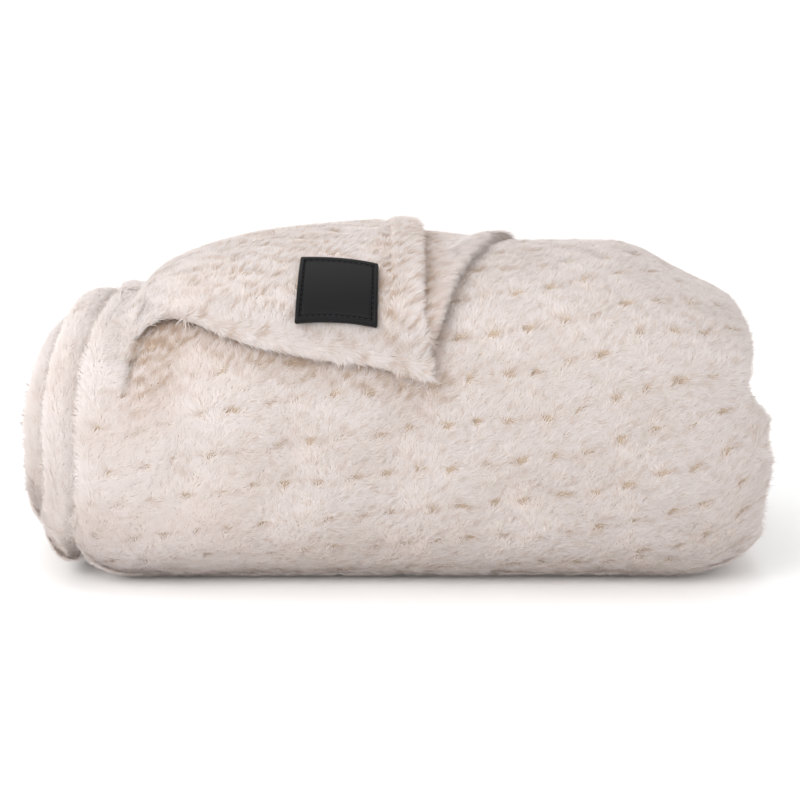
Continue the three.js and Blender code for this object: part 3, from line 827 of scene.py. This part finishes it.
# The knitted ground under the pile, darker in the dimples: partly its own tan, partly painted shade in the hollows
def clothMaterial():
    looks = {"Roughness": 0.95, "Sheen Weight": 0.15, "Sheen Roughness": 0.5}
    material, tree, shader = newMaterial("plushGround", looks)
    place, parts = attributeParts(tree, "clothPlace")
    calc = mathIn(tree)
    group = dimpleGroup()
    masks = []
    for half, size in ((0.0, "main"), (0.5, "small")):
        dimple = tree.nodes.new("ShaderNodeGroup")
        dimple.node_tree = group
        setInputs(dimple, {"Half": half, "Wide": ground[size][0], "Tall": ground[size][1]})
        tree.links.new(place, dimple.inputs["Place"])
        masks.append(dimple.outputs["Dimple"])
    # the dimples' tan is partly the ground's own colour and partly painted shade
    either = calc("MAXIMUM", masks[0], calc("MULTIPLY", masks[1], ground["smallShare"]))
    shownDimple = calc("MULTIPLY", either, parts["Z"])
    noise = patternNode(tree, "ShaderNodeTexNoise", {"Scale": ground["noiseScale"], "Detail": 4}).outputs["Fac"]
    # the knitted ground shows as fine upright lines in the dimples
    hatch = calc("SINE", calc("MULTIPLY", parts["X"], ground["hatchPace"]))
    lines = calc("MULTIPLY", calc("ADD", hatch, 1.0), ground["hatchShare"])
    rough = calc("MULTIPLY", calc("SUBTRACT", noise, 0.5), ground["noiseShare"])
    shade = calc("ADD", shownDimple, calc("ADD", rough, lines))
    colour = rampNode(tree, shade, ((ground["paleAt"], ground["pale"]), (ground["tanAt"], ground["tan"])))
    tree.links.new(colour, shader.inputs["Base Color"])
    addBump(tree, shader, calc("ADD", noise, lines), 0.5, 0.0006)
    return material


# The blades, from root to tip and by their tan tone, with painted shade: darker at the root, as shade deep in the
# pile, and tan where the tone holds shade. Light also passes through them
def pileMaterial():
    material, tree, shader = newMaterial("plushPile", {"Roughness": 0.85, "Specular IOR Level": 0.2})
    links = tree.links
    parts = attributeParts(tree, "pileTone")[1]
    # painted shade: the roots darker than the tips
    ramp = rampNode(tree, parts["X"], ((0.0, (0.83, 0.765, 0.72, 1)), (0.45, (0.93, 0.893, 0.884, 1))))
    # the tan mixed in by the tone is the fibres' own tan and painted shade
    shade = tree.nodes.new("ShaderNodeMix")
    shade.data_type = "RGBA"
    shade.blend_type = "MIX"
    shade.inputs[7].default_value = (0.66, 0.53, 0.43, 1)
    links.new(parts["Y"], shade.inputs[0])
    links.new(ramp, shade.inputs[6])
    links.new(shade.outputs[2], shader.inputs["Base Color"])
    through = tree.nodes.new("ShaderNodeBsdfTranslucent")
    links.new(shade.outputs[2], through.inputs["Color"])
    both = tree.nodes.new("ShaderNodeMixShader")
    both.inputs["Fac"].default_value = 0.5
    links.new(shader.outputs["BSDF"], both.inputs[1])
    links.new(through.outputs["BSDF"], both.inputs[2])
    links.new(both.outputs["Shader"], tree.nodes["Material Output"].inputs["Surface"])
    return material


def patchMaterial():
    looks = {"Base Color": (0.006, 0.006, 0.0068, 1), "Roughness": 0.42, "Specular IOR Level": 0.13}
    material, tree, shader = newMaterial("mouldedRubber", looks)
    noise = patternNode(tree, "ShaderNodeTexNoise", {"Scale": 1400, "Detail": 5})
    addBump(tree, shader, noise.outputs["Fac"], 0.25, 0.0002)
    return material


# Thread with a fine twist, in the given colour
def threadMaterial(name, colour):
    material, tree, shader = newMaterial(name, {"Base Color": (*colour, 1), "Roughness": 0.6})
    twist = patternNode(tree, "ShaderNodeTexWave", {"Scale": 900, "Distortion": 1.5})
    twist.bands_direction = "DIAGONAL"
    addBump(tree, shader, twist.outputs["Fac"], 0.5, 0.0001)
    return material


print("throw: materials")
groundMaterial = clothMaterial()
creamThread = threadMaterial("creamThread", (0.7, 0.62, 0.56))
blackThread = threadMaterial("blackThread", (0.012, 0.012, 0.014))
plushMaterial = pileMaterial()
rubberMaterial = patchMaterial()

print("throw: body")
bodyBm, *bodyCloth = makeBody()
upperBm, *upperCloth = makePly(plies["upper"])
lowerBm, *lowerCloth = makePly(plies["lower"])
patchBm = makePatch()
throwBody = finishPiece(bodyBm, "throwBody", groundMaterial)
throwUpper = finishPiece(upperBm, "throwCornerUpper", groundMaterial)
throwLower = finishPiece(lowerBm, "throwCornerLower", groundMaterial)
sewnPatch = finishPiece(patchBm, "sewnPatch", rubberMaterial)
hemStitches = finishPiece(makeHemStitches(), "hemStitches", creamThread)
finishPiece(makePatchStitches(), "patchStitches", blackThread)
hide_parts("blanket")
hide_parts("label")


# the pile: short blades of a single face each, brushed over the cloth
pile = {
    "perArea": 3.6, "backPerArea": 1.12, "calmDenser": 0.4, "fringeDenser": 0.5, "fringeLonger": 0.5,
    "bodyLong": (3.2, 5.4), "cornerLong": (3.3, 5.6), "bodyLocks": 0.1, "cornerLocks": 0.28, "lift": (7, 20),
    "halfWide": 0.27, "backHalfWide": 0.36, "wideShare": (0.7, 1.2), "lowest": 0.2,
    # which way counts as the front, and how open a face has to be: slope and start
    "towards": (0, -0.978, 0.208), "facing": (2.6, 0.3), "open": (2.4, -0.05),
    "exposeFrom": 2.6, "exposeReach": 50, "exposeLean": (0.6, 0.8), "shutBelow": 2,
    # the brushed way: how far three sizes of waves turn it, its scatter, the parting round a dimple
    "bodyWay": -0.9, "cornerWay": 0.7, "waveSizes": (46, 17, 7), "waveTurns": (0.45, 0.36, 0.36), "scatter": 0.3,
    "parting": 0.6, "partingWide": 50, "partingTall": 1.3, "lockSize": 3.8, "lockStretch": 0.4, "lockSide": 0.8,
    # blades left out over the dimples: slope and start for both kinds, places along a blade
    "bareMain": (1.7, -0.45), "bareSmall": (1.3, -0.4), "smallShare": 0.4, "bareFrom": 0.05, "bareCalm": 0.6,
    "bareMost": 0.93, "bareShares": (0, 0.3, 0.6, 0.9),
    # the tan tone: the fibres' own, at random and by lock, with painted shade in hollows, under the hem and round the
    # dimples
    "toneLeast": 0.1, "toneWave": 0.05, "toneScatter": 0.1, "lockTone": (0.25, 1.5), "shadeByLock": 0.7,
    "shadeByLockRange": (0.2, 2.2), "dimplePaintedShade": 0.3, "haloPower": 0.6, "haloCalm": 0.5,
    "shadeTone": 0.95, "shadeCalm": 0.35, "shadePower": 1.2,
    # the shading's way: the cloth's own, its large folds', the bundle's, the blade's, across a lock
    "own": 0.3, "folds": 0.45, "spread": 0.4, "spreadCalm": 4, "along": 0.15, "acrossLock": 2, "leanScatter": 0.14,
    "blockHalf": (0.2, 0.12, 0.1), "blockMiddle": (0, 0, 0.09),
    "seed": 5, "frontBefore": -40, "mostInPiece": 190000,
}
turnWave, swirlWave, lockWave = [waves(31 + i, size) for i, size in enumerate(pile["waveSizes"])]
streakWave = waves(34, pile["lockSize"], 16)


# A clipped straight line, by its slope and start
def clipped(value, slopeStart):
    return limit(value * slopeStart[0] + slopeStart[1])


# All the pieces in one tree, to cast rays at
def worldTree(pieces):
    verts, faces = [], []
    for piece in pieces:
        mesh = piece.data
        start = len(verts)
        verts += [v.co[:] for v in mesh.vertices]
        faces += [[start + i for i in p.vertices] for p in mesh.polygons]
    return BVHTree.FromPolygons(verts, faces)


# The four corners, areas and outward normals of a grid's faces
def quadsOf(points):
    spots = metres(points)
    a, b, c, d = spots[:-1, :-1], spots[:-1, 1:], spots[1:, 1:], spots[1:, :-1]
    crossed = np.cross(c - a, d - b)
    area = np.linalg.norm(crossed, axis=-1) / 2
    return a, b, c, d, area, -crossed / np.maximum(area[..., None] * 2, 1e-12)


# The share of five ways out of each face that nothing stands in
def exposure(tree, middle, normal):
    free = np.zeros(len(middle))
    start, reach = pile["exposeFrom"] * 0.001, pile["exposeReach"] * 0.001
    ahead, aside = pile["exposeLean"]
    for i in range(len(middle)):
        n = Vector(normal[i])
        if middle[i][2] < pile["shutBelow"] * 0.001:
            continue
        side = n.orthogonal().normalized()
        other = n.cross(side)
        spot = Vector(middle[i]) + n * start
        ways = [n] + [n * ahead + lean * aside for lean in (side, -side, other, -other)]
        free[i] = sum(tree.ray_cast(spot, way, reach)[0] is None for way in ways) / len(ways)
    return free


# How much a dimple bares the cloth where a blade would lie over it
def bareAlong(s, t, wayS, wayT, reach, calm, bare):
    for share in pile["bareShares"]:
        u, v = latticePlace(s + wayS * reach * share, t + wayT * reach * share)
        main, _, small, _ = dimpleMasks(u, v, s, t)
        here = clipped(main, pile["bareMain"]) + pile["smallShare"] * clipped(small, pile["bareSmall"])
        bare = np.maximum(bare, here * mix(pile["bareCalm"], 1, calm))
    return bare


# The blades that grow on a grid: their corners, their shading's ways and their tan tone, painted shade included
def growPile(tree, points, places, cloth, seed, brushed, longs, locks):
    draw = np.random.default_rng(seed)
    a, b, c, d, area, normal = quadsOf(points)
    index = np.argwhere(area > 1e-9)
    rows, cols = index[:, 0], index[:, 1]
    openShare = exposure(tree, ((a + b + c + d) / 4)[rows, cols], normal[rows, cols])
    facing = clipped(normal[rows, cols] @ np.array(pile["towards"]), pile["facing"])
    density = mix(pile["backPerArea"], pile["perArea"], facing) * clipped(openShare, pile["open"])
    fringed = limit(np.hypot(cloth[rows, cols, 2], cloth[rows, cols, 3]))
    denser = 1 + pile["calmDenser"] * (1 - cloth[rows, cols, 6]) + pile["fringeDenser"] * fringed * facing
    wanted = area[rows, cols] * 1e6 * density * denser
    count = np.floor(wanted + draw.random(len(wanted))).astype(int)
    pick = np.repeat(np.arange(len(rows)), count)
    r, q = rows[pick], cols[pick]
    f, g = draw.random(len(pick)), draw.random(len(pick))

    def blend(grid):
        p00, p01, p10, p11 = grid[r, q], grid[r, q + 1], grid[r + 1, q], grid[r + 1, q + 1]
        f1, g1 = (f[:, None], g[:, None]) if grid.ndim == 3 else (f, g)
        return (p00 * (1 - f1) + p01 * f1) * (1 - g1) + (p10 * (1 - f1) + p11 * f1) * g1

    root = blend(metres(points))
    s, t, fringeS, fringeT, turned, bare, calm, paintedShade = [blend(cloth[..., i]) for i in range(8)]
    shown = blend(places)[:, 2]
    n = unit(blend(vertexNormals(points)))
    soft = unit(blend(vertexNormals(smoothed(points))))
    # the cloth's own two directions on its face
    alongS = steepest(a, b, d, cloth[..., 0])[r, q]
    alongS = unit(alongS - n * np.sum(alongS * n, axis=1, keepdims=True))
    alongT = np.cross(alongS, n)
    side = np.sum(alongT * steepest(a, b, d, cloth[..., 1])[r, q], axis=1, keepdims=True)
    alongT = alongT * np.where(side < 0, -1, 1)
    # the brushed way, which parts round the dimples and turns outwards at the hems
    u, v = latticePlace(s, t)
    dx, dy = fromDimple(u, v, 0)
    near = np.exp(-(dx ** 2 + (dy * pile["partingTall"]) ** 2) / pile["partingWide"]) * shown
    # painted shade, tan, round the middle of each main dimple
    dimpleShade = dimpleMasks(u, v, s, t)[0] ** pile["haloPower"] * shown
    away = np.arctan2(dy, dx)
    angle = brushed
    for turnBy, wave in zip(pile["waveTurns"], (turnWave, swirlWave, lockWave)):
        angle = angle + turnBy * wave(s, t)
    angle = angle + draw.normal(0, pile["scatter"], len(root))
    wayS = np.cos(angle) + pile["parting"] * near * np.cos(away) + fringeS
    wayT = np.sin(angle) * np.sign(turned) + pile["parting"] * near * np.sin(away) + fringeT
    size = np.maximum(np.hypot(wayS, wayT), 1e-9)
    wayS, wayT = wayS / size, wayT / size
    fringe = limit(np.hypot(fringeS, fringeT))
    long = draw.uniform(*longs, len(root)) * (1 + pile["fringeLonger"] * fringe)
    lift = np.radians(draw.uniform(*pile["lift"], len(root)))
    # a blade that would lie over a dimple is left out, so that its ground shows
    shown = np.maximum(shown, bare > pile["bareFrom"])
    bare = bareAlong(s, t, wayS, wayT, long * np.cos(lift), calm, bare)
    stay = draw.random(len(root)) > np.clip(bare * shown, 0, pile["bareMost"])
    root, n, soft, s, t, wayS, wayT = [rows[stay] for rows in (root, n, soft, s, t, wayS, wayT)]
    long, lift, calm, paintedShade, dimpleShade = [rows[stay] for rows in (long, lift, calm, paintedShade, dimpleShade)]
    way = alongS[stay] * wayS[:, None] + alongT[stay] * wayT[:, None]
    long = long * 0.001
    tip = root + way * (long * np.cos(lift))[:, None] + n * (long * np.sin(lift))[:, None]
    tip[:, 2] = np.maximum(tip[:, 2], pile["lowest"] * 0.001)
    halfWide = mix(pile["backHalfWide"], pile["halfWide"], facing[pick][stay]) * 0.001
    wide = unit(np.cross(n, way)) * (halfWide * draw.uniform(*pile["wideShare"], len(root)))[:, None]
    # locks of pile run along the brushed way
    along = (s * math.cos(brushed) + t * math.sin(brushed)) * pile["lockStretch"]
    athwart = t * math.cos(brushed) - s * math.sin(brushed)
    lock = streakWave(along, athwart)
    slope = streakWave(along, athwart + pile["lockSide"]) - lock
    lockFrom, lockMost = pile["lockTone"]
    tone = pile["toneLeast"] + pile["toneWave"] * turnWave(t, s)
    tone = tone + calm * locks * np.clip(lockFrom - lock, 0, lockMost) ** 2
    # painted shade, tan, where little of the way out of the cloth is open
    shut = (1 - openShare[pick][stay]) ** pile["shadePower"]
    tone = tone + pile["shadeTone"] * mix(pile["shadeCalm"], 1, calm) * shut
    # the painted shade round the dimples joins the painted shade the cloth carries
    paintedShade = paintedShade + pile["dimplePaintedShade"] * dimpleShade * mix(pile["haloCalm"], 1, calm)
    # the painted shade is weaker on the locks' tops and stronger between them
    tone = tone + paintedShade * np.clip(1 - pile["shadeByLock"] * lock, *pile["shadeByLockRange"])
    tone = limit(tone + draw.normal(0, pile["toneScatter"], len(root)) * calm)
    # light spreads through the pile, so the shading follows large forms more than small folds
    lean = pile["own"] * n + pile["folds"] * soft
    lean = lean + bundleNormal(root) * (pile["spread"] + pile["spreadCalm"] * (1 - calm))[:, None]
    lean = lean + way * pile["along"]
    lean = lean - unit(wide) * (calm * locks * pile["acrossLock"] * slope)[:, None]
    lean = unit(lean + draw.normal(0, pile["leanScatter"], (len(root), 3)) * calm[:, None])
    return np.stack([root + wide, root - wide, tip], axis=1), lean, tone


# The outward way of a rounded block as large as the bundle
def bundleNormal(spots):
    half = np.array(pile["blockHalf"])
    share = (spots - np.array(pile["blockMiddle"])) / half
    return unit(np.abs(share) ** 2 * np.sign(share) / half)


# The direction in which a cloth coordinate grows, for each face of a grid
def steepest(a, b, d, value):
    column, row = b - a, d - a
    byColumn = (value[:-1, 1:] - value[:-1, :-1])[..., None]
    byRow = (value[1:, :-1] - value[:-1, :-1])[..., None]
    columnSize = np.maximum(np.sum(column ** 2, axis=-1, keepdims=True), 1e-12)
    rowSize = np.maximum(np.sum(row ** 2, axis=-1, keepdims=True), 1e-12)
    return unit(column * byColumn / columnSize + row * byRow / rowSize)


# The grid with its small relief rubbed out
def smoothed(points, rounds=6):
    for _ in range(rounds):
        inner = (points[:-2, 1:-1] + points[2:, 1:-1] + points[1:-1, :-2] + points[1:-1, 2:]) / 4
        points = points.copy()
        points[1:-1, 1:-1] = inner
    return points


def vertexNormals(points):
    spots = metres(points)
    return unit(np.cross(np.gradient(spots, axis=0), np.gradient(spots, axis=1)))


def makePile(name, blades, leans, tones):
    count = len(blades)
    mesh = bpy.data.meshes.new(name)
    mesh.vertices.add(count * 3)
    mesh.vertices.foreach_set("co", blades.reshape(-1).astype(np.float32))
    mesh.loops.add(count * 3)
    mesh.loops.foreach_set("vertex_index", np.arange(count * 3, dtype=np.int32))
    mesh.polygons.add(count)
    mesh.polygons.foreach_set("loop_start", np.arange(0, count * 3, 3, dtype=np.int32))
    mesh.polygons.foreach_set("use_smooth", np.ones(count, dtype=bool))
    mesh.update(calc_edges=True)
    # the tone, with its painted shade, goes to the blades' points
    tone = mesh.attributes.new("pileTone", "FLOAT_VECTOR", "POINT")
    values = np.zeros((count, 3, 3), np.float32)
    values[:, 2, 0] = 1
    values[:, :, 1] = tones[:, None]
    tone.data.foreach_set("vector", values.reshape(-1))
    mesh.normals_split_custom_set_from_vertices(np.repeat(leans, 3, axis=0).tolist())
    return addPiece(name, mesh, plushMaterial)


print("throw: pile")
openTree = worldTree([throwBody, throwUpper, throwLower, sewnPatch])
bodyBlades, cornerBlades = [[pile[kind + part] for part in ("Way", "Long", "Locks")] for kind in ("body", "corner")]
grown = [
    growPile(openTree, *bodyCloth, pile["seed"], *bodyBlades),
    growPile(openTree, *upperCloth, pile["seed"] + 1, *cornerBlades),
    growPile(openTree, *lowerCloth, pile["seed"] + 2, *cornerBlades),
]
blades, leans, tones = [np.concatenate(parts) for parts in zip(*grown)]
print("throw: blades", [len(part[0]) for part in grown])


# The blades in front and behind, each split along X into equal shares
def pileZones():
    isFront = blades[:, 0, 1] < pile["frontBefore"] * 0.001
    zones = []
    for side, part in (("Front", isFront), ("Behind", ~isFront)):
        chosen = np.flatnonzero(part)
        chosen = chosen[np.argsort(blades[chosen, 0, 0], kind="stable")]
        shares = math.ceil(len(chosen) / pile["mostInPiece"])
        zones += [(f"pile{side}{i + 1}", share) for i, share in enumerate(np.array_split(chosen, shares))]
    return zones


for name, chosen in pileZones():
    print("throw:", name, len(chosen))
    makePile(name, blades[chosen], leans[chosen], tones[chosen])


# floor, lights and camera
stage = {
    "aim": (0.00414, 0.00217, 0.0855), "distance": 1.25, "elevation": 12, "lens": 99, "sensor": 36,
    "world": (1.0, 1.0, 1.0), "worldStrength": 0.965, "floorColour": (0.93, 0.93, 0.93),
    # the floor runs back flat, then turns up in a round bend
    "floorHalf": 8, "floorBefore": 4, "floorFlat": 5.5, "floorBend": 1.5, "floorSteps": 60,
}


def makeFloor():
    flat, bend = stage["floorFlat"], stage["floorBend"]
    bm = bmesh.new()
    bmesh.ops.create_grid(bm, x_segments=1, y_segments=stage["floorSteps"], size=stage["floorHalf"])
    for vert in bm.verts:
        walked = vert.co.y + stage["floorBefore"]
        turn = min(max(walked - flat, 0) / bend, math.pi / 2)
        over = max(walked - flat - bend * math.pi / 2, 0)
        vert.co.y = min(walked, flat) + bend * math.sin(turn)
        vert.co.z = bend * (1 - math.cos(turn)) + over
    floor = addObject("floor", meshOf(bm, "floor"))
    looks = {"Base Color": (*stage["floorColour"], 1), "Roughness": 0.9}
    floor.data.materials.append(newMaterial("paleFloor", looks)[0])


# Sets an object at a place with its -Z axis towards another one
def aimFrom(item, place, aim):
    item.location = place
    item.rotation_euler = (Vector(aim) - Vector(place)).to_track_quat("-Z", "Y").to_euler()


def addLight(name, place, aim, size, power, colour):
    data = bpy.data.lights.new(name, "AREA")
    data.shape = "DISK"
    data.size = size
    data.energy = power
    data.color = colour
    aimFrom(addObject(name, data), place, aim)


print("throw: floor, lights and camera")
makeFloor()
addLight("keyLight", (-1.25, -1.6, 1.25), stage["aim"], 1.6, 32, (1.0, 0.995, 0.99))
addLight("fillLight", (1.7, -1.5, 0.32), stage["aim"], 0.6, 5.5, (1.0, 1.0, 1.0))
addLight("topLight", (-0.2, 0.1, 1.8), stage["aim"], 1.6, 6, (1.0, 1.0, 1.0))
addLight("backLight", (0, 2.6, 2.6), (0, 6.6, 1.2), 2.4, 200, (1.0, 1.0, 1.0))

scene = bpy.context.scene
world = bpy.data.worlds.new("studio")
world.use_nodes = True
setInputs(world.node_tree.nodes["Background"], {"Color": (*stage["world"], 1), "Strength": stage["worldStrength"]})
scene.world = world
scene.view_settings.view_transform = "Standard"

cameraData = bpy.data.cameras.new("camera")
cameraData.lens = stage["lens"]
cameraData.sensor_width = stage["sensor"]
scene.camera = addObject("camera", cameraData)
tilt = math.radians(stage["elevation"])
back = Vector((0, -math.cos(tilt), math.sin(tilt))) * stage["distance"]
aimFrom(scene.camera, Vector(stage["aim"]) + back, stage["aim"])
